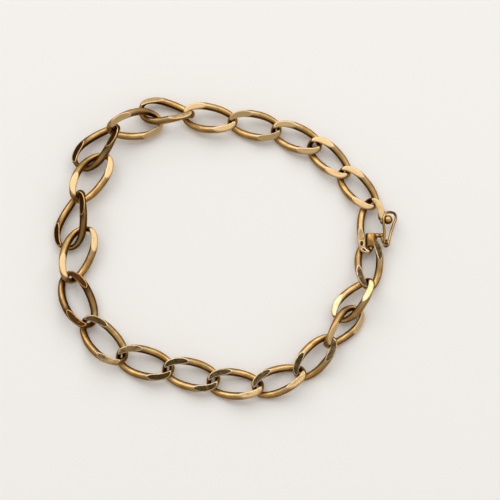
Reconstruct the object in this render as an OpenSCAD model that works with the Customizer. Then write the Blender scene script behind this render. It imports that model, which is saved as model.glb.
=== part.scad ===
/* [Chain links] */
// Length of the links beside the clasp
link_l_clasp = 10.3; // [10:0.1:10.5]
// Length of the links across from the clasp
link_l_back = 11.8; // [11.6:0.1:12]
// Width of the links beside the clasp
link_w_clasp = 5.5; // [5.4:0.1:5.7]
// Width of the links across from the clasp
link_w_back = 6.6; // [6.5:0.1:6.8]
// Thickness of the wire along the sides of the links beside the clasp
wire_d_clasp = 1.4; // [1.3:0.02:1.42]
// Thickness of the wire along the sides of the links across from the clasp
wire_d_back = 1.46; // [1.36:0.02:1.48]
// Thickness left at the worn ends of a link, as a share of its wire
tip_share = 0.64; // [0.6:0.01:0.66]
// Twist of each link between its middle and its end, in degrees
twist_angle = 45; // [44:1:46]
// Metal filed off the top and the underside of each link
file_depth = 0.55; // [0.3:0.05:0.6]

/* [Clasp] */
// Outer diameter of the barrel that takes the tongue
barrel_d = 2.3; // [2.1:0.05:2.35]
// Length of the barrel
barrel_l = 2.5; // [2.3:0.1:2.7]
// Diameter of the tongue
tongue_d = 0.9; // [0.8:0.05:0.95]
// Radial clearance of the tongue in the barrel
tongue_gap = 0.12; // [0.1:0.01:0.16]
// Diameter of the safety ball
ball_d = 1.75; // [1.6:0.05:1.85]

/* [Safety catch] */
// Thickness of the catch's wire
catch_wire_d = 0.5; // [0.46:0.02:0.52]
// Width of the catch's large loop
catch_w = 3.5; // [3.45:0.05:3.65]
// Distance from the catch's pivot to the middle of its large loop
catch_reach = 4.5; // [4.4:0.05:4.7]
// Thickness of the ring that the catch turns in
ear_wire_d = 0.45; // [0.42:0.01:0.48]
// Radial clearance of the catch's wire in the ring
ear_gap = 0.08; // [0.07:0.01:0.1]

/* [Hidden] */

// Outline of a link: 2 is an ellipse, more is squarer
oval_power = 2.7;
// How suddenly a link's wire thins towards its worn ends
wear_power = 3;
// How suddenly the links grow away from the clasp
grade_power = 1.6;
// Distance between links, as a share of their distance when the chain is pulled straight
slack = 0.985;
ring_count = 28;
side_count = 10;
// Angle between the two stations that give the wire's direction, in degrees
station_step = 0.06;

// How the closed bracelet lies, one row for each link, clockwise from the clasp's
// box link. x and y are in link spacings from the middle, yaw is the link's
// heading, pitch raises its far end, roll raises its outer side, and lift is its
// height off the table in wire thicknesses.
LAY = [
//   x,     y,     yaw,  pitch, roll, lift
  [ 2.98, -0.34,  -93,   6,  -6, 0.10],  // clasp_box_link
  [ 2.66, -1.11, -134, -11,  20, 0.30],  // link_01
  [ 2.42, -1.69, -132,  13, -41, 0.00],  // link_02
  [ 1.84, -2.31, -133,  -6,  -3, 0.10],  // link_03
  [ 1.10, -2.79, -161,  -3,   5, 0.10],  // link_04
  [ 0.20, -2.87,  173,  -2,   0, 0.00],  // link_05
  [-0.71, -2.67,  166,   3, -10, 0.00],  // link_06
  [-1.66, -2.43,  164,   0,  -7, 0.00],  // link_07
  [-2.53, -1.97,  133,  -4,  -5, 0.00],  // link_08
  [-3.08, -1.11,  114,  -2,   0, 0.10],  // link_09
  [-3.10, -0.14,   71,  -7,  18, 0.30],  // link_10
  [-3.20,  0.60,   74,  13, -30, 0.10],  // link_11
  [-2.86,  1.52,   58, -12,  16, 0.30],  // link_12
  [-2.72,  2.21,   44,  10, -23, 0.30],  // link_13
  [-1.94,  2.68,   13, -20,  33, 0.10],  // link_14
  [-1.27,  2.98,   -9,   9, -26, 0.10],  // link_15
  [-0.35,  2.84,   -9,   0,   5, 0.40],  // link_16
  [ 0.60,  2.69,  -11,  -4,  18, 0.00],  // link_17
  [ 1.49,  2.42,  -23,  -1,   9, 0.00],  // link_18
  [ 2.18,  1.97,  -44,  -1,   2, 0.10],  // link_19
  [ 2.78,  1.31,  -50,   1,   5, 0.00],  // link_20
  [ 3.05,  0.53,  -92,  -3,   5, 0.10],  // clasp_tongue_link
];
// Middle of the whole bracelet in the same spacings, which becomes the origin
middle = [-0.0065, 0.066];
X = 0;
Y = 1;
YAW = 2;
PITCH = 3;
ROLL = 4;
LIFT = 5;
link_total = len(LAY);
box_link = 0;
tongue_link = link_total - 1;

// Sizes of link i
function grade(i) = pow((1 - cos(360 * (i + 0.5) / link_total)) / 2, grade_power);
function graded(i, near, far) = near + (far - near) * grade(i);
function link_l(i) = graded(i, link_l_clasp, link_l_back);
function link_w(i) = graded(i, link_w_clasp, link_w_back);
function wire_d(i) = graded(i, wire_d_clasp, wire_d_back);
function half_l(i) = (link_l(i) - wire_d(i) * tip_share) / 2;
function half_w(i) = (link_w(i) - wire_d(i)) / 2;
spacing = ((link_l_clasp + link_l_back) / 2 - (wire_d_clasp + wire_d_back) * tip_share) * slack;

// The wire's middle line: an oval, twisted about the link's length
function signed_pow(v, e) = sign(v) * pow(abs(v), e);
function twisted(x, y, reach) = let (q = -twist_angle * x / reach) [x, y * cos(q), y * sin(q)];
function oval_mid(i, t) =
  twisted(
    half_l(i) * signed_pow(cos(t), 2 / oval_power),
    half_w(i) * signed_pow(sin(t), 2 / oval_power),
    half_l(i)
  );
function unit(v) = v / norm(v);
function wear(i, x) = 1 - (1 - tip_share) * pow(min(1, abs(x) / half_l(i)), wear_power);

// One ring of points round the wire at mid, which runs along way; the link's
// own plane is turned by the twist there
function wire_ring(mid, way, reach, flat_r, upright_r, top) =
  let (
    q = -twist_angle * mid[0] / reach,
    side = unit(cross([0, -sin(q), cos(q)], way)),
    up = cross(unit(way), side)
  )
  [
    for (k = [0 : side_count - 1])
      let (
        f = 360 * (k + 0.5) / side_count,
        p = mid + flat_r * cos(f) * side + upright_r * sin(f) * up
      )
      [p[0], p[1], max(-top, min(top, p[2]))]
  ];

// Height of the filed faces above the link's middle
function crest(i) = max([for (t = [0 : 2 : 90]) abs(oval_mid(i, t)[2])]);
function filed_z(i) = crest(i) + wire_d(i) / 2 - file_depth;

function oval_rings(i) =
  [
    for (k = [0 : ring_count - 1])
      let (t = 360 * (k + 0.5) / ring_count, mid = oval_mid(i, t))
      wire_ring(
        mid,
        oval_mid(i, t + station_step) - oval_mid(i, t - station_step),
        half_l(i),
        wire_d(i) * wear(i, mid[0]) / 2,
        wire_d(i) / 2,
        filed_z(i)
      )
  ];

// A skin over rings of points, closed on itself or with flat ends
module skin(rings, closed) {
  n = len(rings);
  s = len(rings[0]);
  last = closed ? n - 1 : n - 2;
  sides = [
    for (k = [0 : last], j = [0 : s - 1])
      let (
        a = k * s + j,
        b = k * s + (j + 1) % s,
        c = ((k + 1) % n) * s + (j + 1) % s,
        d = ((k + 1) % n) * s + j
      )
      each [[a, c, b], [a, d, c]]
  ];
  ends = closed ? [] : [
    [for (j = [0 : s - 1]) j],
    [for (j = [s - 1 : -1 : 0]) (n - 1) * s + j],
  ];
  polyhedron(points = [for (ring = rings) each ring], faces = concat(sides, ends), convexity = 6);
}

// Lowest point of a set of rings after the row's pitch and roll
function tilted_z(p, row) =
  p[0] * sin(row[PITCH]) + (p[1] * sin(row[ROLL]) + p[2] * cos(row[ROLL])) * cos(row[PITCH]);
function lowest(rings, row) = min([for (ring = rings, p = ring) tilted_z(p, row)]);
function rest_z(i) = LAY[i][LIFT] * wire_d(i) - lowest(oval_rings(i), LAY[i]);

module lay(i) {
  row = LAY[i];
  translate([(row[X] - middle[0]) * spacing, (row[Y] - middle[1]) * spacing, rest_z(i)])
    rotate([0, 0, row[YAW]])
      rotate([0, -row[PITCH], 0])
        rotate([row[ROLL], 0, 0])
          children();
}

module link(i) {
  color("goldenrod")
    lay(i)
      skin(oval_rings(i), true);
}

module link_01() {
  link(1);
}
module link_02() {
  link(2);
}
module link_03() {
  link(3);
}
module link_04() {
  link(4);
}
module link_05() {
  link(5);
}
module link_06() {
  link(6);
}
module link_07() {
  link(7);
}
module link_08() {
  link(8);
}
module link_09() {
  link(9);
}
module link_10() {
  link(10);
}
module link_11() {
  link(11);
}
module link_12() {
  link(12);
}
module link_13() {
  link(13);
}
module link_14() {
  link(14);
}
module link_15() {
  link(15);
}
module link_16() {
  link(16);
}
module link_17() {
  link(17);
}
module link_18() {
  link(18);
}
module link_19() {
  link(19);
}
module link_20() {
  link(20);
}

// Clasp: the tongue lies on the tongue link's own length, inside the barrel
// The hooked end reaches this much further than a plain link's
hook_share = 1.17;
hook_reach = half_l(tongue_link) * hook_share;
// How far the bend reaches beyond the straight side and the tongue
bend_depth = 1.0;
bend_start = hook_reach - bend_depth;
// Gap between the bend and the end of the barrel
bend_gap = 0.1;
barrel_end = bend_start - bend_gap;
barrel_start = barrel_end - barrel_l;
// The tongue stops short of the barrel's far end
tongue_short = 0.5;
tongue_start = barrel_start + tongue_short;
bore_d = tongue_d + 2 * tongue_gap;
overlap = 0.2;

// The hooked half of the tongue link: a straight side, a bend and the tongue's root
hook_b = half_w(tongue_link);
function hook_mid(s) =
  s < 0
    ? twisted((s + 1) * bend_start, -hook_b, hook_reach)
    : twisted(bend_start + bend_depth * sin(s * 180), -hook_b / 2 * (1 + cos(s * 180)), hook_reach);
// Thickness of the wire where the tongue springs from it
root_d = tongue_d + 0.1;
function hook_r(s, from) = from + (root_d / 2 - from) * max(0, min(1, (s - 0.2) / 0.6));
cut_angle = 96;
oval_steps = 16;
side_steps = 4;
bend_steps = 10;
hook_step = 0.002;
function hook_rings() =
  let (i = tongue_link, r = wire_d(i) / 2)
  [
    for (k = [0 : oval_steps - 1])
      let (t = cut_angle + (268 - cut_angle) * k / (oval_steps - 1), mid = oval_mid(i, t))
      wire_ring(
        mid,
        oval_mid(i, t + station_step) - oval_mid(i, t - station_step),
        half_l(i),
        r * wear(i, mid[0]),
        r,
        filed_z(i)
      ),
    for (k = [1 : side_steps + bend_steps])
      let (
        s = k <= side_steps ? k / (side_steps + 1) - 1 : (k - side_steps) / bend_steps - 0.02,
        mid = hook_mid(s)
      )
      wire_ring(
        mid,
        hook_mid(s + hook_step) - hook_mid(s - hook_step),
        hook_reach,
        hook_r(s, r) * (s > 0 ? 1 - 0.25 * sin(s * 180) : 1),
        hook_r(s, r),
        filed_z(i)
      ),
  ];

// Safety ball and catch, in the tongue link's own directions
tilt_angle = 50;
lean_angle = 6;
ball_back = 0.65;
ball_up = 0.25;
neck_l = 1.45;
neck_d = 0.8;
// The catch's straight foot, which is its pin
pin_d = catch_wire_d + 0.04;
// The catch's plane lies this far below the ball's middle, and its loop this far aside
catch_drop = 0.1;
catch_side = 0.3;
rail_mid = [-ball_back, hook_b, ball_up];
outward = [0, sin(tilt_angle), cos(tilt_angle)];
ball_mid = rail_mid + neck_l * outward;
catch_way = [
  -cos(lean_angle),
  sin(lean_angle) * sin(tilt_angle),
  sin(lean_angle) * cos(tilt_angle)
];
across = [0, cos(tilt_angle), -sin(tilt_angle)];
ear_mid = ball_mid - catch_drop * outward + catch_side * across - catch_reach * catch_way;
ear_ring_r = pin_d / 2 + ear_gap + ear_wire_d / 2;
// The arm that carries the ring: out from the barrel, round an elbow and back
arm_d = 0.8;
elbow_d = 0.9;
arm_in = 0.35;
arm_sunk = 0.25;
arm_out = 0.85;
arm_up = 0.3;
arm_root = [barrel_start + arm_in, barrel_d / 2 - arm_sunk, arm_up];
arm_elbow = [barrel_start + arm_in, barrel_d / 2 + arm_out, arm_up];
arm_tip = ear_mid - ear_ring_r * outward;
arm_tip_d = 0.5;

module rod(from, to, d, end_d) {
  way = to - from;
  translate(from)
    rotate([0, acos(way[2] / norm(way)), atan2(way[1], way[0])])
      cylinder(h = norm(way), d1 = d, d2 = end_d, $fn = 32);
}

module along_x(from, length, d) {
  translate([from, 0, 0])
    rotate([0, 90, 0])
      cylinder(h = length, d = d, $fn = 40);
}

module clasp_tongue_link() {
  color("goldenrod")
    lay(tongue_link) {
      skin(hook_rings(), false);
      along_x(tongue_start, bend_start - tongue_start + overlap, tongue_d);
      rod(rail_mid, ball_mid, neck_d, neck_d);
      translate(ball_mid)
        sphere(d = ball_d, $fn = 32);
    }
}

// Ring, wire round a circle in the catch's plane of turning
module ear_ring() {
  rotate([90, 0, 0])
    rotate_extrude($fn = 32)
      translate([ear_ring_r, 0])
        circle(d = ear_wire_d, $fn = 16);
}

module catch_place() {
  translate(ear_mid)
    rotate([-tilt_angle, 0, 0])
      rotate([0, 0, 180])
        rotate([0, -lean_angle, 0])
          children();
}

module clasp_box_link() {
  color("goldenrod")
    difference() {
      union() {
        lay(box_link)
          skin(oval_rings(box_link), true);
        lay(tongue_link) {
          along_x(barrel_start, barrel_l, barrel_d);
          rod(arm_root, arm_elbow, arm_d, arm_d);
          translate(arm_elbow)
            sphere(d = elbow_d, $fn = 32);
          rod(arm_elbow, arm_tip, arm_d, arm_tip_d);
          catch_place()
            ear_ring();
        }
      }
      lay(tongue_link)
        along_x(barrel_start - overlap, barrel_l + 2 * overlap, bore_d);
    }
}

// Safety catch: wire in one plane, pin at the origin, large loop along x
loop_r = (catch_w - catch_wire_d) / 2;
foot_r = 0.3;
foot_half = 0.6;
foot_mid = [foot_r, foot_half - foot_r, 0];
loop_mid = [catch_reach, 0, 0];
// Direction, square to a strand, in which it leaves both of its arcs
strand_way = foot_mid - loop_mid;
strand_angle =
  atan2(strand_way[1], strand_way[0]) - acos((loop_r - foot_r) / norm(strand_way));
arc_steps = 18;
foot_steps = 3;
foot_turn = 180 - strand_angle;
// The large loop has a blunt corner on its outer side, for a fingernail
corner_out = 0.7;
corner_angle = -58;
corner_spread = 34;
function corner(a) = corner_out * exp(-pow((a - corner_angle) / corner_spread, 2));

function on_arc(mid, r, a) = mid + r * [cos(a), sin(a), 0];
catch_mids = [
  for (k = [0 : arc_steps])
    let (a = strand_angle * (2 * k / arc_steps - 1))
    on_arc(loop_mid, loop_r + corner(a), a),
  for (k = [0 : foot_steps])
    on_arc(foot_mid, foot_r, strand_angle + foot_turn * k / foot_steps),
  for (k = [0 : foot_steps])
    on_arc([foot_mid[0], -foot_mid[1], 0], foot_r, 180 + foot_turn * k / foot_steps),
];
catch_rings = [
  for (i = [0 : len(catch_mids) - 1])
    let (
      n = len(catch_mids),
      along = catch_mids[(i + 1) % n] - catch_mids[(i + n - 1) % n],
      way = cross(along, [0, 0, 1]) / norm(along)
    )
    [
      for (k = [0 : side_count - 1])
        let (f = 360 * (k + 0.5) / side_count)
        catch_mids[i] + catch_wire_d / 2 * (sin(f) * [0, 0, 1] - cos(f) * way)
    ]
];

module safety_catch() {
  color("gold")
    lay(tongue_link)
      catch_place() {
        skin(catch_rings, true);
        translate([0, -foot_mid[1], 0])
          rotate([-90, 0, 0])
            cylinder(h = 2 * foot_mid[1], d = pin_d, $fn = 32);
      }
}

clasp_box_link();
link_01();
link_02();
link_03();
link_04();
link_05();
link_06();
link_07();
link_08();
link_09();
link_10();
link_11();
link_12();
link_13();
link_14();
link_15();
link_16();
link_17();
link_18();
link_19();
link_20();
clasp_tongue_link();
safety_catch();
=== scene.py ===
import math
from collections import namedtuple
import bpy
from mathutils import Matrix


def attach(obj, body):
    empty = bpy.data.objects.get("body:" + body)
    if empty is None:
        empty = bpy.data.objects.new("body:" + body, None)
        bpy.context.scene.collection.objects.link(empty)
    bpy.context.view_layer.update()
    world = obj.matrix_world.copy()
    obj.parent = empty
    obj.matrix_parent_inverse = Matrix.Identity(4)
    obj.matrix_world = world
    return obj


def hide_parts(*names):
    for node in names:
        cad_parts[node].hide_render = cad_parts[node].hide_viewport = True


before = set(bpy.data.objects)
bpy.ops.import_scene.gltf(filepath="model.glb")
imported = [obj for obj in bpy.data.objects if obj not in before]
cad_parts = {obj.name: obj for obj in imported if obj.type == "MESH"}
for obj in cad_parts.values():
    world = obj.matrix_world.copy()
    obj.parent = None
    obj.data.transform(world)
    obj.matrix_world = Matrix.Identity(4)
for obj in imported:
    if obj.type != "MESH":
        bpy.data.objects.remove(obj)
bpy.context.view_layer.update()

from types import SimpleNamespace

import bmesh
import bpy
from bpy.props import FloatProperty, FloatVectorProperty, PointerProperty
from mathutils import Matrix, Vector

bl_info = {
    "name": "Link Bracelet",
    "version": (1, 0, 0),
    "blender": (4, 5, 0),
    "location": "View3D > Sidebar > Bracelet",
    "description": "A closed gold curb-link bracelet with a tongue clasp and a safety catch",
    "category": "Add Mesh",
}

MM = 0.001

# How the closed bracelet lies, one row for each link, clockwise from the clasp's box
# link, as in the solids. x and y are in link spacings, the turns are in degrees and
# lift is in wire thicknesses. dull_start and dull_end say
# how dark the flats at the two ends are painted, tarnish together with a painted dark
# reflection, from 0 to 1, or below 0 where they are painted bright, a painted highlight,
# and above 1 where they are painted nearly black, and brown how much of that is brown,
# not grey.
Row = namedtuple("Row", "node x y yaw pitch roll lift dull_start dull_end brown")
LAY = tuple(Row(*row) for row in (
    # node, x, y, yaw, pitch, roll, lift, dull_start, dull_end, brown
    ("clasp_box_link", 2.98, -0.34, -93, 6, -6, 0.10, 0.90, 0.85, 0.1),
    ("link_01", 2.66, -1.11, -134, -11, 20, 0.30, -0.60, -0.80, 0.0),
    ("link_02", 2.42, -1.69, -132, 13, -41, 0.00, 0.10, 0.20, 0.2),
    ("link_03", 1.84, -2.31, -133, -6, -3, 0.10, 0.70, 0.90, 0.1),
    ("link_04", 1.10, -2.79, -161, -3, 5, 0.10, 0.35, 0.90, 0.1),
    ("link_05", 0.20, -2.87, 173, -2, 0, 0.00, 0.30, 0.90, 0.1),
    ("link_06", -0.71, -2.67, 166, 3, -10, 0.00, 0.80, 0.90, 0.1),
    ("link_07", -1.66, -2.43, 164, 0, -7, 0.00, 0.90, 0.60, 0.3),
    ("link_08", -2.53, -1.97, 133, -4, -5, 0.00, 0.60, 0.95, 0.3),
    ("link_09", -3.08, -1.11, 114, -2, 0, 0.10, 0.96, 0.96, 1.0),
    ("link_10", -3.10, -0.14, 71, -7, 18, 0.30, 0.00, 0.10, 0.0),
    ("link_11", -3.20, 0.60, 74, 13, -30, 0.10, 1.40, 1.40, 1.0),
    ("link_12", -2.86, 1.52, 58, -12, 16, 0.30, 0.00, 0.10, 0.0),
    ("link_13", -2.72, 2.21, 44, 10, -23, 0.30, 1.70, 1.70, 0.9),
    ("link_14", -1.94, 2.68, 13, -20, 33, 0.10, 0.00, 0.10, 0.0),
    ("link_15", -1.27, 2.98, -9, 9, -26, 0.10, 0.30, 0.30, 0.3),
    ("link_16", -0.35, 2.84, -9, 0, 5, 0.40, 0.00, 0.10, 0.0),
    ("link_17", 0.60, 2.69, -11, -4, 18, 0.00, 0.00, 0.00, 0.0),
    ("link_18", 1.49, 2.42, -23, -1, 9, 0.00, 0.00, 0.00, 0.0),
    ("link_19", 2.18, 1.97, -44, -1, 2, 0.10, 0.00, 0.10, 0.0),
    ("link_20", 2.78, 1.31, -50, 1, 5, 0.00, 0.10, 0.10, 0.0),
    ("clasp_tongue_link", 3.05, 0.53, -92, -3, 5, 0.10, 0.20, 0.40, 0.2),
))
BOX_LINK = 0
TONGUE_LINK = len(LAY) - 1
MIDDLE = (-0.0065, 0.066)  # of the loop, in link spacings
SLACK = 0.985  # a link spacing as a share of the taut one
OVAL_POWER = 2.7  # 2 would make the links ellipses
WEAR_POWER = 3  # the wire thins late, near a link's ends
GRADE_POWER = 1.6  # the links stay small for some way from the clasp
LINK_RINGS = 80
LINK_SIDES = 24
FLAT_CORNERS = 8  # a face with more corners than this is a flat or a cut end
WIRE, FLAT, OUTLINE, BARREL = range(4)  # the pieces' material slots

# The clasp's smaller lengths, in millimetres, and angles, as in the solids.
HOOK_SHARE = 1.17  # the hooked side's reach as a share of half the link
BEND_DEPTH = 1.0
BEND_GAP = 0.1  # between the bend and the barrel
TONGUE_SHORT = 0.5  # how far inside the barrel the tongue ends
CUT_ANGLE, OVAL_END = 96, 268  # where the hooked link's oval starts and ends
TILT_ANGLE, LEAN_ANGLE = 50, 6  # of the ball and the catch on it
BALL_BACK, BALL_UP = 0.65, 0.25  # from the link's middle to the ball's foot
NECK_L, NECK_R = 1.45, 0.36
CATCH_DROP, CATCH_SIDE = 0.1, 0.3  # of the catch's loop from the ball's middle
RING_PLAY = 0.02
ARM_IN, ARM_SUNK, ARM_OUT, ARM_UP = 0.35, 0.25, 0.85, 0.3
ARM_R, ELBOW_R, ARM_TIP_R = 0.4, 0.45, 0.2
FOOT_R, FOOT_HALF = 0.3, 0.6  # of the catch's straight foot
CORNER_OUT, CORNER_ANGLE, CORNER_SPREAD = 0.7, -58, 34  # of the catch's blunt corner
PINCH = 0.14  # how far each strand of the catch is bent in

# The two empty stamps on the hooked link: x, y, half length, half width, turn.
STAMPS = ((4.0, -1.72, 0.56, 0.38, -0.1), (5.2, -1.25, 0.5, 0.26, 0.9))


def length(name, text, millimetres):
    return FloatProperty(
        name=name, description=text, default=millimetres * MM, unit="LENGTH", precision=5
    )


def angle(name, text, degrees):
    return FloatProperty(
        name=name, description=text, default=math.radians(degrees), subtype="ANGLE"
    )


def from_hex(code):
    """An sRGB hex colour as the linear numbers that a shader takes."""
    parts = [int(code[k:k + 2], 16) / 255 for k in (1, 3, 5)]
    return [c / 12.92 if c <= 0.04045 else ((c + 0.055) / 1.055) ** 2.4 for c in parts]


def colour(name, text, code):
    return FloatVectorProperty(
        name=name, description=text, default=from_hex(code), subtype="COLOR", min=0, max=1
    )


class BraceletLinkSizes(bpy.types.PropertyGroup):
    link_l_clasp: length("Length at clasp", "Length of the links beside the clasp", 10.3)
    link_l_back: length("Length at back", "Length of the links across from the clasp", 11.8)
    link_w_clasp: length("Width at clasp", "Width of the links beside the clasp", 5.5)
    link_w_back: length("Width at back", "Width of the links across from the clasp", 6.6)
    wire_d_clasp: length("Wire at clasp", "Wire of the links beside the clasp", 1.4)
    wire_d_back: length("Wire at back", "Wire of the links across from the clasp", 1.46)
    tip_share: FloatProperty(
        name="Worn tip", description="Share of the wire left at the ends of a link",
        default=0.64, min=0.5, max=1, subtype="FACTOR",
    )
    twist: angle("Twist", "Twist from a link's middle to its end", 45)
    file_depth: length("Filed away", "Metal filed off the top and the underside", 0.55)
    polish: length("Polished away", "Metal that wear has taken off the flats since", 0.03)
    rim: length("Worn rim", "Width of the softened rim of a filed flat", 0.28)


class BraceletClaspSizes(bpy.types.PropertyGroup):
    barrel_d: length("Barrel", "Outer diameter of the barrel", 2.3)
    barrel_l: length("Barrel length", "Length of the barrel", 2.5)
    tongue_d: length("Tongue", "Diameter of the tongue", 0.9)
    tongue_gap: length("Tongue gap", "Radial clearance of the tongue in the barrel", 0.12)
    ball_d: length("Ball", "Diameter of the safety ball", 1.75)
    catch_wire_d: length("Catch wire", "Wire of the safety catch", 0.5)
    catch_w: length("Catch width", "Width of the catch's large loop", 3.5)
    catch_reach: length("Catch reach", "From the pivot to the middle of the large loop", 4.5)
    ear_wire_d: length("Ring wire", "Wire of the ring that the catch turns in", 0.45)
    ear_gap: length("Ring gap", "Clearance of the catch's wire in the ring", 0.08)


class BraceletFinish(bpy.types.PropertyGroup):
    gold: colour("Gold", "Clean yellow gold", "#EAC480")
    deep_gold: colour("Deep gold", "Gold that hands don't reach", "#D2A25C")
    # Pale rim colour: clean rubbed gold with a painted highlight.
    rim: colour("Bright rim", "Gold on the rubbed rims of the flats", "#F8E2B4")
    # Dark brown on the flanks: grime together with painted shade.
    grime: colour("Grime", "Old polish and dirt on the flanks", "#42220A")
    filed: colour("Filed flat", "Pale gold of the filed flats", "#D9B986")
    # Dull flat colour: tarnish together with a painted dark reflection.
    dull: colour("Dull flat", "Dark tarnish on the flats", "#2E261B")
    dull_light: colour("Dull grain", "Lighter grain in the dark tarnish", "#6F5F43")
    brown: colour("Brown flat", "Brown tarnish on the flats", "#4A2B12")
    # Near-black flats: tarnish together with a painted dark reflection.
    black: colour("Black flat", "Tarnish that has gone nearly black", "#140A04")
    edge: colour("Edge tint", "Gold seen along its surface", "#EDCBA0")


class BraceletStage(bpy.types.PropertyGroup):
    floor: colour("Table", "Plain pale table", "#F7F7F5")
    distance: length("Camera distance", "From the camera to the bracelet", 350)
    elevation: angle("Camera height", "Angle above the table", 76)
    view: angle("Camera angle", "Angle across the picture", 15.46)


def keys_of(group):
    return [key for key in group.bl_rna.properties.keys() if key not in ("rna_type", "name")]


class Sizes:
    """The panel's sizes in millimetres, and what follows from them for each link."""

    def __init__(self, scene):
        for group in (scene.bracelet_links, scene.bracelet_clasp):
            for key in keys_of(group):
                value = getattr(group, key)
                setattr(self, key, value if key in ("tip_share", "twist") else value / MM)
        self.spacing = SLACK * (
            (self.link_l_clasp + self.link_l_back) / 2
            - (self.wire_d_clasp + self.wire_d_back) * self.tip_share
        )
        self.hook_reach = self.half_l(TONGUE_LINK) * HOOK_SHARE
        self.hook_b = self.half_w(TONGUE_LINK)
        self.bend_start = self.hook_reach - BEND_DEPTH
        self.barrel_start = self.bend_start - BEND_GAP - self.barrel_l
        tilt, lean = math.radians(TILT_ANGLE), math.radians(LEAN_ANGLE)
        self.rail_mid = Vector((-BALL_BACK, self.hook_b, BALL_UP))
        self.outward = Vector((0, math.sin(tilt), math.cos(tilt)))
        across = Vector((0, math.cos(tilt), -math.sin(tilt)))
        way = math.sin(lean) * self.outward - math.cos(lean) * Vector((1, 0, 0))
        ball_mid = self.rail_mid + NECK_L * self.outward
        self.ear_mid = (
            ball_mid - CATCH_DROP * self.outward + CATCH_SIDE * across - self.catch_reach * way
        )
        self.ear_ring_r = self.catch_wire_d / 2 + RING_PLAY + self.ear_gap + self.ear_wire_d / 2

    def graded(self, i, near, far):
        """A size of link i, between that at the clasp and that across from it."""
        share = ((1 - math.cos(2 * math.pi * (i + 0.5) / len(LAY))) / 2) ** GRADE_POWER
        return near + (far - near) * share

    def wire_d(self, i):
        return self.graded(i, self.wire_d_clasp, self.wire_d_back)

    def half_l(self, i):
        """Half the length of link i, to the middle of its wire."""
        outer = self.graded(i, self.link_l_clasp, self.link_l_back)
        return (outer - self.wire_d(i) * self.tip_share) / 2

    def half_w(self, i):
        """Half the width of link i, to the middle of its wire."""
        outer = self.graded(i, self.link_w_clasp, self.link_w_back)
        return (outer - self.wire_d(i)) / 2

    def twisted(self, x, y, reach):
        q = -self.twist * x / reach
        return Vector((x, y * math.cos(q), y * math.sin(q)))

    def oval_mid(self, i, t):
        """A point of link i's wire: an oval twisted about the link's length."""
        x = self.half_l(i) * signed_power(math.cos(t), 2 / OVAL_POWER)
        y = self.half_w(i) * signed_power(math.sin(t), 2 / OVAL_POWER)
        return self.twisted(x, y, self.half_l(i))

    def filed_z(self, i):
        """How high over link i's middle the solids' flats are."""
        crest = max(abs(self.oval_mid(i, math.radians(t)).z) for t in range(0, 92, 2))
        return crest + self.wire_d(i) / 2 - self.file_depth

    def wear(self, i, x):
        """What is left of the wire's thickness, less towards the ends."""
        return 1 - (1 - self.tip_share) * min(1, abs(x) / self.half_l(i)) ** WEAR_POWER


def signed_power(v, e):
    return math.copysign(abs(v) ** e, v)


def between(value, low, high):
    """How far a value is on its way between two limits, from 0 to 1."""
    return min(1, max(0, (value - low) / (high - low)))


# ---------------------------------------------------------------- shapes

def everything(bm):
    return bm.verts[:] + bm.edges[:] + bm.faces[:]


def corners(parts):
    """The points of some edges or faces, each once and always in the same order."""
    return list(dict.fromkeys(v for part in parts for v in part.verts))


def in_order(bm):
    """The same mesh built up afresh, its faces outward and in the order of their points.
    Spin and bevel leave an order that changes from run to run, and what is cut from the
    mesh afterwards would change a little with it."""
    bmesh.ops.recalc_face_normals(bm, faces=bm.faces[:])
    bm.verts.index_update()
    loops = sorted([v.index for v in f.verts] for f in bm.faces)
    made = bmesh.new()
    layers = [
        (layer, made.verts.layers.float_vector.new(layer.name))
        for layer in bm.verts.layers.float_vector.values()
    ]
    points = []
    for v in bm.verts:
        points.append(made.verts.new(v.co))
        for old, new in layers:
            points[-1][new] = v[old]
    for loop in loops:
        made.faces.new([points[k] for k in loop])
    bm.free()
    return made


def station(mid, way, reach, flat_r, upright_r, sizes):
    """One place along a twisted wire: its middle, two directions across it and its radii."""
    q = -sizes.twist * mid.x / reach
    out = -Vector((0, -math.sin(q), math.cos(q))).cross(way).normalized()
    up = out.cross(way.normalized())
    return mid, out, up, flat_r, upright_r


def oval_stations(sizes, i, turns):
    """Places round link i's oval at the given angles."""
    step = 0.001
    row = []
    for t in turns:
        mid = sizes.oval_mid(i, t)
        way = sizes.oval_mid(i, t + step) - sizes.oval_mid(i, t - step)
        r = sizes.wire_d(i) / 2
        row.append(station(mid, way, sizes.half_l(i), r * sizes.wear(i, mid.x), r, sizes))
    return row


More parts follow.
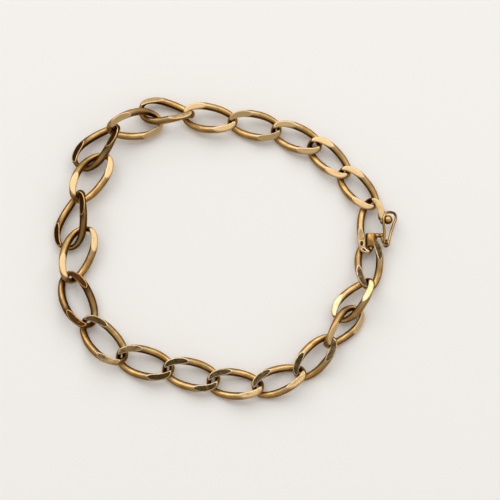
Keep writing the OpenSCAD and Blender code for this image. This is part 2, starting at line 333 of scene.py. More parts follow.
def wire_along(stations, sides, closed):
    """A bmesh wire through the stations: a ring spun round a circle of 1, whose points
    are then laid along them. The layers "along" and "around" keep how far each point is
    along the wire and from its middle, in millimetres."""
    bm = bmesh.new()
    n = len(stations)
    turn = 2 * math.pi / n
    bmesh.ops.create_circle(
        bm, cap_ends=not closed, segments=sides, radius=0.2,
        matrix=Matrix.Translation((1, 0, 0)) @ Matrix.Rotation(math.pi / 2, 4, "X"),
    )
    bmesh.ops.spin(
        bm, geom=everything(bm), cent=(0, 0, 0), axis=(0, 0, 1),
        angle=2 * math.pi if closed else turn * (n - 1), steps=n if closed else n - 1,
        use_merge=closed,
    )
    bmesh.ops.remove_doubles(bm, verts=bm.verts[:], dist=0.0001)
    bm = in_order(bm)
    along = bm.verts.layers.float_vector.new("along")
    around = bm.verts.layers.float_vector.new("around")
    lengths = [0.0]
    for k in range(n):
        lengths.append(lengths[-1] + (stations[(k + 1) % n][0] - stations[k][0]).length)
    for v in bm.verts:
        k = round(math.atan2(v.co.y, v.co.x) % (2 * math.pi) / turn) % n
        f = math.atan2(v.co.z, math.hypot(v.co.x, v.co.y) - 1)
        mid, out, up, flat_r, upright_r = stations[k]
        share = 2 * math.pi * lengths[k] / lengths[-1]
        v[along] = Vector((math.cos(share), math.sin(share), 0)) * lengths[-1] / (2 * math.pi)
        v[around] = Vector((math.cos(f) * flat_r, math.sin(f) * upright_r, 0))
        v.co = mid + flat_r * math.cos(f) * out + upright_r * math.sin(f) * up
    bmesh.ops.recalc_face_normals(bm, faces=bm.faces[:])
    return bm


def oval_wire(sizes, i):
    turns = [2 * math.pi * (k + 0.5) / LINK_RINGS for k in range(LINK_RINGS)]
    return wire_along(oval_stations(sizes, i, turns), LINK_SIDES, True)


def file_flats(bm, sizes, i):
    """Files the top and the underside of link i flat, softens their rims, and marks the
    wear in layers. "inner" goes from 0 on a rim to 1 inside it. "dull"
    and "brown" carry the tarnish, together with painted dark and bright reflections on
    the flats. "kept" says how much dirt and painted shade the wire takes:
    most on the inner side, where no cloth gets in, and above all at the ends, under the
    next link. "crest" is the wire's crest beyond the end of a flat, which is painted in the
    flat's colour, a painted reflection as of a longer flat."""
    rim = sizes.rim
    drop = 0.2 * rim
    height = sizes.filed_z(i) - sizes.polish - drop
    for side in (1, -1):
        bmesh.ops.bisect_plane(
            bm, geom=everything(bm), dist=0.0001,
            plane_co=(0, 0, side * height), plane_no=(0, 0, side), clear_outer=True,
        )
        cut = [e for e in bm.edges if e.is_boundary]
        bmesh.ops.remove_doubles(bm, verts=corners(cut), dist=0.05)
        bmesh.ops.holes_fill(bm, edges=[e for e in bm.edges if e.is_boundary], sides=0)
    bmesh.ops.recalc_face_normals(bm, faces=bm.faces[:])
    inner, dull, brown, kept, crest = [
        bm.verts.layers.float.new(name) for name in ("inner", "dull", "brown", "kept", "crest")
    ]
    flats = []
    for f in bm.faces:
        f.smooth = True
        if len(f.verts) > FLAT_CORNERS and abs(abs(f.calc_center_median().z) - height) < 0.01:
            flats.append(f)
    for share, width, rise in ((0.4, 0.4 * rim, drop), (1.0, 0.6 * rim, 0.0)):
        ring = bmesh.ops.inset_individual(
            bm, faces=flats, thickness=width, depth=rise, use_even_offset=False
        )
        for f in ring["faces"] + flats:
            f.material_index = FLAT
        for v in corners(flats):
            v[inner] = share
        bmesh.ops.remove_doubles(bm, verts=corners(flats), dist=0.35 * rim)
        flats = [f for f in bm.faces if f.material_index == FLAT and len(f.verts) > FLAT_CORNERS]
    if not flats:
        raise RuntimeError("the file missed " + LAY[i].node)
    for v in bm.verts:
        v[brown] = LAY[i].brown
        # How dark each end's flat is painted: tarnish together with a painted reflection.
        v[dull] = LAY[i].dull_start if v.co.x < 0 else LAY[i].dull_end
        # Dirt and painted shade: most on the inner side, more at the ends under the next link.
        inward = (1 - v.normal.dot(v.co.normalized())) / 2
        near_end = between(abs(v.co.x) / sizes.half_l(i), 0.6, 0.9)
        v[kept] = 0.68 + 0.44 * inward + near_end * max(0, inward - 0.3)
        # The crest beyond a flat, to be painted in the flat's colour as a painted reflection.
        v[crest] = between(abs(v.co.z), height - 0.7, height) * between(abs(v.normal.z), 0.5, 0.8)
    for f in flats:
        f.smooth = False
    bmesh.ops.triangulate(bm, faces=flats, ngon_method="BEAUTY")


def place_of(sizes, i):
    """Where link i lies: its row's turns, and down until the lowest point that the file
    leaves of its oval is at its lift."""
    row = LAY[i]
    turn = (
        Matrix.Rotation(math.radians(row.yaw), 4, "Z")
        @ Matrix.Rotation(math.radians(-row.pitch), 4, "Y")
        @ Matrix.Rotation(math.radians(row.roll), 4, "X")
    )
    top = sizes.filed_z(i)
    wire = oval_wire(sizes, i)
    lowest = min(
        (turn @ Vector((v.co.x, v.co.y, max(-top, min(top, v.co.z))))).z for v in wire.verts
    )
    wire.free()
    spot = Vector((
        (row.x - MIDDLE[0]) * sizes.spacing,
        (row.y - MIDDLE[1]) * sizes.spacing,
        row.lift * sizes.wire_d(i) - lowest,
    ))
    return Matrix.Translation(spot) @ turn


def plain_link(sizes, i):
    """Link i with its flats filed and aged."""
    bm = oval_wire(sizes, i)
    file_flats(bm, sizes, i)
    return bm


def shaft(path, sides, matrix):
    """A round piece spun from its outline, (distance along z, radius) from end to end. An
    outline that starts off the axis is a tube's, and closes."""
    bm = bmesh.new()
    points = [bm.verts.new((r, 0, z)) for z, r in path]
    for a, b in zip(points, points[1:]):
        bm.edges.new((a, b))
    if path[0][1] > 0:
        bm.edges.new((points[-1], points[0]))
    bmesh.ops.spin(
        bm, geom=bm.verts[:] + bm.edges[:], cent=(0, 0, 0), axis=(0, 0, 1),
        angle=2 * math.pi, steps=sides, use_merge=True,
    )
    bmesh.ops.remove_doubles(bm, verts=bm.verts[:], dist=0.0005)
    bm = in_order(bm)
    for f in bm.faces:
        f.smooth = True
    bm.transform(matrix)
    return bm


def toward(start, way):
    """Stands a piece at start with its z along way."""
    return Matrix.Translation(start) @ way.to_track_quat("Z", "Y").to_matrix().to_4x4()


def rounded_tube(end, inner, outer, edge):
    """Outline of a tube with softened ends."""
    corner = 0.3 * edge
    return [
        (edge, inner), (0, inner + edge),
        (0, outer - edge), (corner, outer - corner), (edge, outer),
        (end - edge, outer), (end - corner, outer - corner), (end, outer - edge),
        (end, inner + edge), (end - edge, inner),
    ]


def tongue_stations(sizes):
    """The hooked link's wire: from the cut end round the link's start, down its inner
    side, round the bend and back as the tongue into the barrel."""
    i = TONGUE_LINK
    oval_steps, side_steps, bend_steps, tongue_steps = 43, 12, 26, 7
    wire_r, tongue_r = sizes.wire_d(i) / 2, sizes.tongue_d / 2
    row = oval_stations(sizes, i, [
        math.radians(CUT_ANGLE + (OVAL_END - CUT_ANGLE) * k / oval_steps)
        for k in range(oval_steps + 1)
    ])

    def mid(s):
        """From -1 to 0 the side runs to the bend, and from 0 to 1 the bend goes round."""
        if s < 0:
            return sizes.twisted((s + 1) * sizes.bend_start, -sizes.hook_b, sizes.hook_reach)
        q = s * math.pi
        x = sizes.bend_start + BEND_DEPTH * math.sin(q)
        return sizes.twisted(x, -sizes.hook_b / 2 * (1 + math.cos(q)), sizes.hook_reach)

    step = 0.002
    places = [k / side_steps - 1 for k in range(1, side_steps)]
    places += [k / bend_steps for k in range(bend_steps)]
    for s in places:
        upright = wire_r + (tongue_r - wire_r) * between(s, 0.2, 0.8)
        pressed = 0.25 * math.sin(s * math.pi) if s > 0 else 0  # thinner round the bend
        row.append(station(
            mid(s), mid(s + step) - mid(s - step), sizes.hook_reach,
            upright * (1 - pressed), upright, sizes,
        ))
    tip = sizes.barrel_start + TONGUE_SHORT
    for k in range(tongue_steps + 1):
        x = sizes.bend_start + (tip - sizes.bend_start) * k / tongue_steps
        r = tongue_r * (0.7 if k == tongue_steps else 1)
        row.append(station(Vector((x, 0, 0)), Vector((-1, 0, 0)), sizes.hook_reach, r, r, sizes))
    return row


def ball_outline(sizes):
    """Ball on its short neck, flared where it is soldered to the link."""
    r = sizes.ball_d / 2
    meet = math.acos(NECK_R / r)
    solder = [(0.0, 0.0), (0.0, 0.72), (0.28, 0.62), (0.45, 0.46), (0.55, NECK_R)]
    steps = 16
    ball = []
    for k in range(steps):
        a = -meet + (meet + math.pi / 2) * k / steps
        ball.append((NECK_L + r * math.sin(a), r * math.cos(a)))
    return solder + ball + [(NECK_L + r, 0.0)]


def stamp(mid, half_l, half_w, turn):
    """An empty stamp on a flat: a raised bright outline round a dark bed."""
    outline, edge, bed_r, squareness, steps = [], 0.09, 0.03, 0.7, 28
    for k in range(steps):
        a = 2 * math.pi * k / steps
        spot = Vector((
            half_l * signed_power(math.cos(a), squareness),
            half_w * signed_power(math.sin(a), squareness),
            0,
        ))
        side = Vector((math.cos(a) / half_l, math.sin(a) / half_w, 0)).normalized()
        outline.append((spot, side, Vector((0, 0, 1)), edge, edge))
    raised = wire_along(outline, 8, True)
    bed = bmesh.new()
    bmesh.ops.create_uvsphere(
        bed, u_segments=24, v_segments=8, radius=1,
        matrix=Matrix.Diagonal((half_l, half_w, bed_r, 1)),
    )
    bed = in_order(bed)
    for name, value in (("inner", 1.0), ("dull", 1.0), ("brown", 0.4)):  # grey-brown
        layer = bed.verts.layers.float.new(name)
        for v in bed.verts:
            v[layer] = value
    for part, slot in ((raised, OUTLINE), (bed, FLAT)):
        for f in part.faces:
            f.smooth, f.material_index = True, slot
        part.transform(Matrix.Translation(mid) @ Matrix.Rotation(turn, 4, "Z"))
    return [raised, bed]


def catch_stations(sizes):
    """The catch's wire in its own plane: the large loop with a blunt corner for a
    fingernail, two strands pinched together, and the straight foot."""
    loop_steps, foot_steps, strand_steps = 44, 8, 11
    loop_r = (sizes.catch_w - sizes.catch_wire_d) / 2
    loop, foot = Vector((sizes.catch_reach, 0, 0)), Vector((FOOT_R, FOOT_HALF - FOOT_R, 0))
    way = foot - loop
    leave = math.atan2(way.y, way.x) - math.acos((loop_r - FOOT_R) / way.length)

    def on_arc(mid, r, a):
        return mid + r * Vector((math.cos(a), math.sin(a), 0))

    def corner(a):
        return CORNER_OUT * math.exp(-((math.degrees(a) - CORNER_ANGLE) / CORNER_SPREAD) ** 2)

    def strand(start, end):
        side = math.copysign(1, start.y)
        return [
            start.lerp(end, k / strand_steps)
            - Vector((0, side * PINCH * math.sin(math.pi * k / strand_steps) ** 2, 0))
            for k in range(1, strand_steps)
        ]

    turns = [leave * (2 * k / loop_steps - 1) for k in range(loop_steps + 1)]
    large = [on_arc(loop, loop_r + corner(a), a) for a in turns]
    left = [
        on_arc(foot, FOOT_R, leave + (math.pi - leave) * k / foot_steps)
        for k in range(foot_steps + 1)
    ]
    right = [Vector((p.x, -p.y, 0)) for p in reversed(left)]
    points = large + strand(large[-1], left[0]) + left + right + strand(right[-1], large[0])
    r = sizes.catch_wire_d / 2
    row = []
    for k, p in enumerate(points):
        along = points[(k + 1) % len(points)] - points[k - 1]
        row.append((p, along.cross(Vector((0, 0, 1))).normalized(), Vector((0, 0, 1)), r, r))
    return row


def catch_matrix(sizes):
    """From the catch's own plane to the tongue link's."""
    return (
        Matrix.Translation(sizes.ear_mid)
        @ Matrix.Rotation(-math.radians(TILT_ANGLE), 4, "X")
        @ Matrix.Rotation(math.pi, 4, "Z")
        @ Matrix.Rotation(-math.radians(LEAN_ANGLE), 4, "Y")
    )


def ring_for_catch(sizes, matrix):
    """The closed ring that the catch's foot turns in."""
    ring = bmesh.new()
    bmesh.ops.create_circle(
        ring, segments=16, radius=sizes.ear_wire_d / 2,
        matrix=Matrix.Translation((sizes.ear_ring_r, 0, 0)) @ Matrix.Rotation(math.pi / 2, 4, "X"),
    )
    bmesh.ops.spin(
        ring, geom=ring.verts[:] + ring.edges[:], cent=(0, 0, 0), axis=(0, 0, 1),
        angle=2 * math.pi, steps=40, use_merge=True,
    )
    ring = in_order(ring)
    for f in ring.faces:
        f.smooth = True
    ring.transform(matrix @ Matrix.Rotation(math.pi / 2, 4, "X"))
    return ring


def arm_for_ring(sizes, matrix):
    """The bent arm, soldered to the barrel, that carries the ring."""
    root = Vector((sizes.barrel_start + ARM_IN, sizes.barrel_d / 2 - ARM_SUNK, ARM_UP))
    reach = ARM_SUNK + ARM_OUT
    elbow = root + Vector((0, reach, 0))
    way = sizes.ear_mid - sizes.ear_ring_r * sizes.outward - elbow
    solder = [(0.0, 0.0), (0.0, ARM_R + 0.1), (0.25, ARM_R + 0.03)]
    half_turn = [math.pi * k / 16 for k in range(17)]
    outlines = (
        (solder + [(reach, ARM_R), (reach, 0.0)], root, elbow - root),
        ([(-ELBOW_R * math.cos(a), ELBOW_R * math.sin(a)) for a in half_turn], elbow, way),
        ([(0.0, 0.0), (0.0, ARM_R), (way.length - 0.1, ARM_TIP_R + 0.06),
          (way.length, ARM_TIP_R), (way.length, 0.0)], elbow, way),
    )
    return [shaft(outline, 24, matrix @ toward(start, along)) for outline, start, along in outlines]


# ---------------------------------------------------------------- pieces

def join(parts):
    """Several bmeshes as one, each still a closed shell."""
    mesh = bpy.data.meshes.new("join")
    bm = bmesh.new()
    for part in parts:
        part.to_mesh(mesh)
        part.free()
        bm.from_mesh(mesh)
    bpy.data.meshes.remove(mesh)
    return bm


def piece(name, bm, matrix, materials, solid, body):
    """Makes the finished object, in metres and in place, and ties it to the frame. Its
    layer "unreached" is the share of grime and painted shade: none on top,
    much on the flanks and the underside, half as much on the outermost, steepest sides, and
    more all round where the wire takes dirt and painted shade."""
    bm.transform(Matrix.Scale(MM, 4) @ matrix)
    bm.normal_update()
    unreached = bm.verts.layers.float.new("unreached")
    kept = bm.verts.layers.float.get("kept")
    # Painted shade with grime: darker the further the surface turns from straight up.
    for v in bm.verts:
        dirt_and_shade = v[kept] if kept and v[kept] > 0 else 1.0
        steep_relief = 0.5 * (1 - between(v.normal.z, 0, 0.35))
        flank_shade = 1 - between(v.normal.z, 0.62, 0.95)
        v[unreached] = (1 - steep_relief) * dirt_and_shade * max(flank_shade, dirt_and_shade - 1)
    mesh = bpy.data.meshes.new(name)
    bm.to_mesh(mesh)
    bm.free()
    for material in materials:
        mesh.materials.append(material)
    obj = bpy.data.objects.new(name, mesh)
    bpy.context.scene.collection.objects.link(obj)
    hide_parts(solid)
    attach(obj, body)
    return obj


def cut_away(bm, cutter):
    """Bores bm with another closed bmesh."""
    before = bm.calc_volume()
    objects = []
    for name, part in (("bored", bm), ("drill", cutter)):
        mesh = bpy.data.meshes.new(name)
        part.to_mesh(mesh)
        part.free()
        objects.append(bpy.data.objects.new(name, mesh))
        bpy.context.scene.collection.objects.link(objects[-1])
    work, tool = objects
    bore = work.modifiers.new("bore", "BOOLEAN")
    bore.operation = "DIFFERENCE"
    bore.solver = "EXACT"
    bore.object = tool
    bpy.context.view_layer.update()
    done = bpy.data.meshes.new_from_object(
        work.evaluated_get(bpy.context.evaluated_depsgraph_get())
    )
    result = bmesh.new()
    result.from_mesh(done)
    for obj in objects:
        mesh = obj.data
        bpy.data.objects.remove(obj)
        bpy.data.meshes.remove(mesh)
    bpy.data.meshes.remove(done)
    if not 0 < result.calc_volume() < before:
        raise RuntimeError("the bore took nothing away")
    return result


# ---------------------------------------------------------------- finishes

# Two kinds of node with their settings, and the Mix node's colour sockets.
MIX = "ShaderNodeMix", {"data_type": "RGBA"}
UNDER, OVER, MIXED = 6, 7, 2
MULTIPLY_ADD = "ShaderNodeMath", {"operation": "MULTIPLY_ADD"}


def node(tree, kind, settings=None, inputs=None):
    """Adds a node with its settings. Each input gets a value, or a link if it is given
    another node's output."""
    made = tree.nodes.new(kind)
    for key, value in (settings or {}).items():
        setattr(made, key, value)
    for key, value in (inputs or {}).items():
        if isinstance(value, bpy.types.NodeSocket):
            tree.links.new(value, made.inputs[key])
        else:
            made.inputs[key].default_value = value
    return made


def new_material(name):
    material = bpy.data.materials.new(name)
    material.use_nodes = True
    material.node_tree.nodes.clear()
    return material, material.node_tree


def wire_streaks(tree, wide):
    """Noise drawn out along the wire, as drawing the wire and years of rubbing leave it.
    The real marks are hundredths of a millimetre wide, too fine to show, so these are
    drawn about that many millimetres wide and 2 mm long."""
    spots = []
    for name, size in (("along", 2.0), ("around", wide)):
        place = node(tree, "ShaderNodeAttribute", {"attribute_name": name}).outputs["Vector"]
        split = node(tree, "ShaderNodeSeparateXYZ", inputs={"Vector": place})
        for k in (0, 1):
            spots.append(node(tree, "ShaderNodeMath", {"operation": "MULTIPLY"}, {
                0: split.outputs[k], 1: 1 / size}).outputs[0])
    x, y, z, w = spots
    place = node(tree, "ShaderNodeCombineXYZ", inputs={"X": x, "Y": y, "Z": z}).outputs[0]
    return node(tree, "ShaderNodeTexNoise", {"noise_dimensions": "4D"}, {
        "Vector": place, "W": w, "Scale": 1.0, "Detail": 4.0, "Roughness": 0.6,
    }).outputs["Fac"]


def rubbed_gold_wire(c):
    """Eighteen-carat yellow gold wire, drawn, then rubbed bright by years of wear: a soft
    mirror with fine streaks along the wire, paler on its crest beyond a flat, a painted
    reflection as of a longer flat, and brown on its flanks, grime where no cloth reaches
    together with painted shade. Its patches are 1.8 mm across. Its pits are hundredths
    of a millimetre, too fine to show, and are drawn 0.14 mm across."""
    material, tree = new_material("rubbed_gold_wire")
    place = node(tree, "ShaderNodeTexCoord").outputs["Object"]
    patches, pits = [
        node(tree, "ShaderNodeTexNoise", inputs={
            "Vector": place, "Scale": 1 / (size * MM), "Detail": detail, "Roughness": 0.55,
        }).outputs["Fac"]
        for size, detail in ((1.8, 3.0), (0.14, 2.0))
    ]
    streaks = wire_streaks(tree, 0.111)
    unreached, brown, crest = [
        node(tree, "ShaderNodeAttribute", {"attribute_name": name}).outputs["Fac"]
        for name in ("unreached", "brown", "crest")
    ]
    worn = node(tree, "ShaderNodeMapRange", inputs={
        "Value": patches, "From Min": 0.38, "From Max": 0.62})
    drawn = node(tree, "ShaderNodeMapRange", inputs={
        "Value": streaks, "From Min": 0.5, "From Max": 0.72, "To Max": 0.25})
    deep = node(tree, "ShaderNodeMapRange", inputs={
        "Value": pits, "From Min": 0.7, "From Max": 0.8, "To Max": 0.7})
    rough = node(tree, "ShaderNodeMapRange", inputs={
        "Value": streaks, "From Min": 0.3, "From Max": 0.7, "To Min": 0.28, "To Max": 0.43})
    # Grime and painted shade on the flanks, with streaks and brown tarnish.
    grime_and_shade_share = -0.42
    for value, weight in ((streaks, 0.8), (brown, 0.3), (unreached, 1.0)):
        grime_and_shade_share = node(tree, *MULTIPLY_ADD, {0: value, 1: weight, 2: grime_and_shade_share}).outputs[0]
    # The crest is painted in the flat's colour, a painted reflection as of a longer flat.
    crest_sheen_tone = node(tree, *MIX, {"Factor": brown, UNDER: c.filed, OVER: c.brown})
    tone = c.deep_gold
    for share, over in (
        (worn.outputs[0], c.gold),
        (crest, crest_sheen_tone.outputs[MIXED]),
        (drawn.outputs[0], c.brown),
        (grime_and_shade_share, c.grime),
        (deep.outputs[0], c.grime),
    ):
        tone = node(tree, *MIX, {"Factor": share, UNDER: tone, OVER: over}).outputs[MIXED]
    bump = node(tree, "ShaderNodeBump", inputs={
        "Height": streaks, "Strength": 0.25, "Distance": 0.03 * MM})
    dents = node(tree, "ShaderNodeBump", inputs={
        "Height": patches, "Strength": 0.3, "Distance": 0.08 * MM, "Normal": bump.outputs[0]})
    shader = node(tree, "ShaderNodeBsdfPrincipled", inputs={
        "Base Color": tone, "Metallic": 1.0, "Roughness": rough.outputs[0],
        "Specular Tint": c.edge, "Normal": dents.outputs[0],
    })
    node(tree, "ShaderNodeOutputMaterial", inputs={"Surface": shader.outputs[0]})
    return material


def filed_gold_flat(c):
    """The same gold filed flat: a satin face of fine scratches, and on the links that have
    tarnished a dark uneven grain, grey or brown, together with a painted dark reflection,
    inside a rim that rubbing keeps bright and whose pale colour is a painted highlight.
    Its patches are 1 mm across. Its grain, a tenth of that in the metal, is drawn 0.22 mm
    across to show."""
    material, tree = new_material("filed_gold_flat")
    place = node(tree, "ShaderNodeTexCoord").outputs["Object"]
    patches, grain = [
        node(tree, "ShaderNodeTexNoise", inputs={
            "Vector": place, "Scale": 1 / (size * MM), "Detail": detail, "Roughness": roughness,
        }).outputs["Fac"]
        for size, detail, roughness in ((1.0, 4.0, 0.55), (0.22, 3.0, 0.65))
    ]
    scratched = -0.25
    for value, weight in ((grain, 0.75), (wire_streaks(tree, 0.25), 0.75)):
        scratched = node(tree, *MULTIPLY_ADD, {0: value, 1: weight, 2: scratched}).outputs[0]
    inner, dull, brown = [
        node(tree, "ShaderNodeAttribute", {"attribute_name": name}).outputs["Fac"]
        for name in ("inner", "dull", "brown")
    ]

    # The tarnish with its painted dark reflection: how far it has spread, its ragged edge
    # inside the rim, and its colour.
    spread = -1.75
    for value, weight in ((scratched, 1.8), (patches, 1.2), (dull, 1.55)):
        spread = node(tree, *MULTIPLY_ADD, {0: value, 1: weight, 2: spread}).outputs[0]
    spread = node(tree, "ShaderNodeClamp", inputs={"Value": spread})
    ragged = node(tree, "ShaderNodeMath", {"operation": "ADD"}, {0: inner, 1: scratched})
    inside = node(tree, "ShaderNodeMapRange", inputs={
        "Value": ragged.outputs[0], "From Min": 0.75, "From Max": 1.15})
    tarnish_and_dark_reflection = node(tree, "ShaderNodeMath", {"operation": "MULTIPLY"}, {
        0: spread.outputs[0], 1: inside.outputs[0]}).outputs[0]
    speckle = node(tree, "ShaderNodeMapRange", inputs={
        "Value": scratched, "From Min": 0.42, "From Max": 0.66})
    past = node(tree, "ShaderNodeMath", {"operation": "SUBTRACT"}, {0: dull, 1: 1.0})
    # The colour of the tarnish and the painted dark reflection.
    old = c.dull
    for share, over in (
        (speckle.outputs[0], c.dull_light), (brown, c.brown), (past.outputs[0], c.black),
    ):
        old = node(tree, *MIX, {"Factor": share, UNDER: old, OVER: over}).outputs[MIXED]

    # What is clean: the rim, paler than the gold as a painted highlight and brightest round
    # grey tarnish, and the flat, where it is rubbed and painted bright in places, a painted
    # highlight, which "dull" says by being below 0.
    grey = node(tree, "ShaderNodeMath", {"operation": "SUBTRACT"}, {0: dull, 1: brown})
    # The rim's colour, paler than the gold, is a painted highlight.
    rim = c.filed
    for share, over in ((grey.outputs[0], c.rim), (brown, c.deep_gold)):
        rim = node(tree, *MIX, {"Factor": share, UNDER: rim, OVER: over}).outputs[MIXED]
    # A painted highlight on flats whose dull is below 0.
    places = node(tree, "ShaderNodeMapRange", inputs={
        "Value": patches, "From Min": 0.46, "From Max": 0.58, "To Max": -1.0})
    painted_highlight = node(tree, "ShaderNodeMath", {"operation": "MULTIPLY"}, {
        0: dull, 1: places.outputs[0]})
    flat = node(tree, *MIX, {"Factor": painted_highlight.outputs[0], UNDER: c.filed, OVER: c.rim})
    tone = rim
    for share, over in ((inside.outputs[0], flat.outputs[MIXED]), (tarnish_and_dark_reflection, old)):
        tone = node(tree, *MIX, {"Factor": share, UNDER: tone, OVER: over}).outputs[MIXED]

    rough = node(tree, "ShaderNodeMapRange", inputs={
        "Value": tarnish_and_dark_reflection, "To Min": 0.30, "To Max": 0.42})
    bump = node(tree, "ShaderNodeBump", inputs={
        "Height": scratched, "Strength": 0.35, "Distance": 0.03 * MM})
    shader = node(tree, "ShaderNodeBsdfPrincipled", inputs={
        "Base Color": tone, "Metallic": 1.0, "Roughness": rough.outputs[0],
        "Normal": bump.outputs[0],
    })
    node(tree, "ShaderNodeOutputMaterial", inputs={"Surface": shader.outputs[0]})
    return material


def bright_gold_rim(c):
    """Gold on the raised rim of a stamp, which rubbing keeps brightest, its pale colour a
    painted highlight: almost a mirror, with nicks a quarter of a millimetre across."""
    material, tree = new_material("bright_gold_rim")
    place = node(tree, "ShaderNodeTexCoord").outputs["Object"]
    nicks = node(tree, "ShaderNodeTexNoise", inputs={
        "Vector": place, "Scale": 1 / (0.25 * MM), "Detail": 2.0, "Roughness": 0.55,
    }).outputs["Fac"]
    rough = node(tree, "ShaderNodeMapRange", inputs={
        "Value": nicks, "From Min": 0.35, "From Max": 0.65, "To Min": 0.12, "To Max": 0.26})
    bump = node(tree, "ShaderNodeBump", inputs={
        "Height": nicks, "Strength": 0.4, "Distance": 0.04 * MM})
    shader = node(tree, "ShaderNodeBsdfPrincipled", inputs={
        "Base Color": c.rim, "Metallic": 1.0, "Roughness": rough.outputs[0],
        "Normal": bump.outputs[0],
    })
    node(tree, "ShaderNodeOutputMaterial", inputs={"Surface": shader.outputs[0]})
    return material


def grimy_gold_barrel(c):
    """Gold of the barrel, which fingers can't clean between the links: brown, for grime and
    painted shade, with bright scratches along it, half a millimetre apart."""
    material, tree = new_material("grimy_gold_barrel")
    place = node(tree, "ShaderNodeTexCoord").outputs["Object"]
    drawn = node(tree, "ShaderNodeMapping", inputs={"Vector": place, "Scale": (1.0, 0.6, 1.0)})
    scratches = node(tree, "ShaderNodeTexNoise", inputs={
        "Vector": drawn.outputs[0], "Scale": 1 / (0.5 * MM), "Detail": 5.0, "Roughness": 0.6,
    }).outputs["Fac"]
    share = node(tree, "ShaderNodeMapRange", inputs={
        "Value": scratches, "From Min": 0.35, "From Max": 0.65, "To Min": 0.25, "To Max": 0.85})
    # Brown for grime together with painted shade between the links.
    tone = node(tree, *MIX, {"Factor": share.outputs[0], UNDER: c.brown, OVER: c.deep_gold})
    bump = node(tree, "ShaderNodeBump", inputs={
        "Height": scratches, "Strength": 0.5, "Distance": 0.03 * MM})
    shader = node(tree, "ShaderNodeBsdfPrincipled", inputs={
        "Base Color": tone.outputs[MIXED], "Metallic": 1.0, "Roughness": 0.28,
        "Normal": bump.outputs[0],
    })
    node(tree, "ShaderNodeOutputMaterial", inputs={"Surface": shader.outputs[0]})
    return material


def table_paper(shade):
    """Matt pale paper under the bracelet, with no gloss that would mirror it."""
    material, tree = new_material("table_paper")
    shader = node(tree, "ShaderNodeBsdfPrincipled", inputs={
        "Base Color": (*shade, 1), "Roughness": 0.9})
    node(tree, "ShaderNodeOutputMaterial", inputs={"Surface": shader.outputs[0]})
    return material


def golds():
    """The four golds, made once, in the order of the material slots."""
    finish = bpy.context.scene.bracelet_finish
    colours = SimpleNamespace(**{key: (*getattr(finish, key), 1) for key in keys_of(finish)})
    makers = (rubbed_gold_wire, filed_gold_flat, bright_gold_rim, grimy_gold_barrel)
    return [bpy.data.materials.get(make.__name__) or make(colours) for make in makers]


# ---------------------------------------------------------------- operators

class BRACELET_OT_chain(bpy.types.Operator):
    """Make the plain links of the chain"""
    bl_idname = "bracelet.chain"
    bl_label = "Chain Links"

    def execute(self, context):
        sizes = Sizes(context.scene)
        for i in range(1, TONGUE_LINK):
            name = LAY[i].node
            bm = plain_link(sizes, i)
            piece("gold_" + name, bm, place_of(sizes, i), golds(), name, "bracelet")
        return {"FINISHED"}


class BRACELET_OT_tongue_link(bpy.types.Operator):
    """Make the hooked link with its tongue and the safety ball"""
    bl_idname = "bracelet.tongue_link"
    bl_label = "Tongue Link"

    def execute(self, context):
        sizes = Sizes(context.scene)
        i = TONGUE_LINK
        bm = wire_along(tongue_stations(sizes), LINK_SIDES, False)
        ends = [f for f in bm.faces if len(f.verts) > FLAT_CORNERS]
        bmesh.ops.bevel(
            bm, geom=list(dict.fromkeys(e for f in ends for e in f.edges)), offset=0.1,
            offset_type="OFFSET", segments=3, profile=0.5, affect="EDGES", clamp_overlap=True,
            material=-1,
        )
        bm = in_order(bm)
        file_flats(bm, sizes, i)
        top = sizes.filed_z(i) - sizes.polish
        parts = [bm, shaft(ball_outline(sizes), 40, toward(sizes.rail_mid, sizes.outward))]
        for x, y, half_l, half_w, turn in STAMPS:
            parts += stamp(Vector((x, y, top)), half_l, half_w, turn)
        place = place_of(sizes, i)
        piece("gold_tongue_link", join(parts), place, golds(), LAY[i].node, "bracelet")
        return {"FINISHED"}


class BRACELET_OT_box_link(bpy.types.Operator):
    """Make the link with the barrel, its stub and the ring for the catch"""
    bl_idname = "bracelet.box_link"
    bl_label = "Box Link"

    def execute(self, context):
        sizes = Sizes(context.scene)
        i = BOX_LINK
        place = place_of(sizes, i)
        into = place.inverted() @ place_of(sizes, TONGUE_LINK)
        along = (
            into
            @ Matrix.Translation((sizes.barrel_start, 0, 0))
            @ Matrix.Rotation(math.pi / 2, 4, "Y")
        )
        bore, past = sizes.tongue_d / 2 + sizes.tongue_gap, 0.3
        ends = (-past, sizes.barrel_l + past)
        drill = shaft([(ends[0], 0.0), (ends[0], bore), (ends[1], bore), (ends[1], 0.0)], 40, along)
        link = cut_away(plain_link(sizes, i), drill)
        barrel = shaft(rounded_tube(sizes.barrel_l, bore, sizes.barrel_d / 2, 0.12), 48, along)
        for f in barrel.faces:
            f.material_index = BARREL
        ring = ring_for_catch(sizes, into @ catch_matrix(sizes))
        parts = [link, barrel, ring] + arm_for_ring(sizes, into)
        piece("gold_box_link", join(parts), place, golds(), LAY[i].node, "bracelet")
        return {"FINISHED"}


class BRACELET_OT_safety_catch(bpy.types.Operator):
    """Make the wire catch that closes over the ball"""
    bl_idname = "bracelet.safety_catch"
    bl_label = "Safety Catch"

    def execute(self, context):
        sizes = Sizes(context.scene)
        bm = wire_along(catch_stations(sizes), 16, True)
        for f in bm.faces:
            f.smooth = True
        place = place_of(sizes, TONGUE_LINK) @ catch_matrix(sizes)
        wire = [golds()[WIRE]]
        piece("gold_safety_catch", bm, place, wire, "safety_catch", "safety_catch")
        return {"FINISHED"}


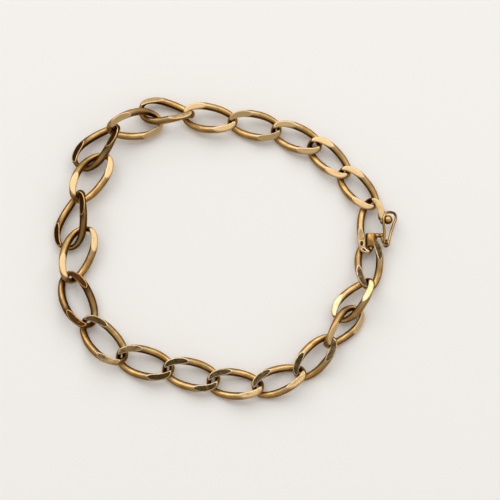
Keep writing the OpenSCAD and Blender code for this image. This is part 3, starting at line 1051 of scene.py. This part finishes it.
class BRACELET_OT_stage(bpy.types.Operator):
    """Lay the table, hang the lights and set the camera"""
    bl_idname = "bracelet.stage"
    bl_label = "Stage"

    def execute(self, context):
        scene = context.scene
        stage = scene.bracelet_stage
        bm = bmesh.new()
        bmesh.ops.create_grid(bm, x_segments=1, y_segments=1, size=1.5)
        mesh = bpy.data.meshes.new("table")
        bm.to_mesh(mesh)
        bm.free()
        mesh.materials.append(table_paper(tuple(stage.floor)))
        table = bpy.data.objects.new("table", mesh)
        scene.collection.objects.link(table)

        aim = Vector((4.62, -0.8, 1.2)) * MM  # the middle of the picture
        back = Vector((0, -math.cos(stage.elevation), math.sin(stage.elevation)))
        lens = bpy.data.cameras.new("camera")
        lens.angle = stage.view
        lens.clip_start = 0.01
        camera = bpy.data.objects.new("camera", lens)
        camera.location = aim + back * stage.distance
        camera.rotation_euler = (math.pi / 2 - stage.elevation, 0, 0)
        scene.collection.objects.link(camera)
        scene.camera = camera

        # name, place in metres, width and height in metres, brightness of its face
        for name, spot, wide, high, bright in (
            ("back_panel", (0.0, 0.68, 0.86), 2.2, 1.25, 1.3),
            ("key_panel", (-0.75, 0.6, 0.7), 0.35, 0.35, 1.6),
            ("right_panel", (1.0, -0.2, 0.5), 0.5, 0.5, 0.8),
        ):
            lamp = bpy.data.lights.new(name, "AREA")
            lamp.shape = "RECTANGLE"
            lamp.size, lamp.size_y = wide, high
            lamp.energy = bright * math.pi * wide * high
            obj = bpy.data.objects.new(name, lamp)
            obj.location = spot
            obj.rotation_euler = (-Vector(spot)).to_track_quat("-Z", "Y").to_euler()
            scene.collection.objects.link(obj)

        world = bpy.data.worlds.new("studio")
        world.use_nodes = True
        background = world.node_tree.nodes["Background"]
        background.inputs["Color"].default_value = (*from_hex("#FFF9F2"), 1)
        background.inputs["Strength"].default_value = 0.5
        scene.view_settings.view_transform = "Standard"
        scene.world = world
        return {"FINISHED"}


OPERATORS = (
    BRACELET_OT_chain,
    BRACELET_OT_tongue_link,
    BRACELET_OT_box_link,
    BRACELET_OT_safety_catch,
    BRACELET_OT_stage,
)
GROUPS = {
    "bracelet_links": BraceletLinkSizes,
    "bracelet_clasp": BraceletClaspSizes,
    "bracelet_finish": BraceletFinish,
    "bracelet_stage": BraceletStage,
}


class BRACELET_PT_panel(bpy.types.Panel):
    """Sizes, colours and buttons of the bracelet"""
    bl_label = "Link Bracelet"
    bl_idname = "BRACELET_PT_panel"
    bl_space_type = "VIEW_3D"
    bl_region_type = "UI"
    bl_category = "Bracelet"

    def draw(self, context):
        for name in GROUPS:
            group = getattr(context.scene, name)
            box = self.layout.box()
            for key in keys_of(group):
                box.prop(group, key)
        for operator in OPERATORS:
            self.layout.operator(operator.bl_idname)


CLASSES = tuple(GROUPS.values()) + OPERATORS + (BRACELET_PT_panel,)


def register():
    for cls in CLASSES:
        bpy.utils.register_class(cls)
    for name, group in GROUPS.items():
        setattr(bpy.types.Scene, name, PointerProperty(type=group))


def unregister():
    for name in GROUPS:
        delattr(bpy.types.Scene, name)
    for cls in reversed(CLASSES):
        bpy.utils.unregister_class(cls)


def main():
    register()
    bpy.ops.bracelet.chain()
    bpy.ops.bracelet.tongue_link()
    bpy.ops.bracelet.box_link()
    bpy.ops.bracelet.safety_catch()
    bpy.ops.bracelet.stage()
    bpy.context.view_layer.update()


if __name__ == "__main__":
    main()
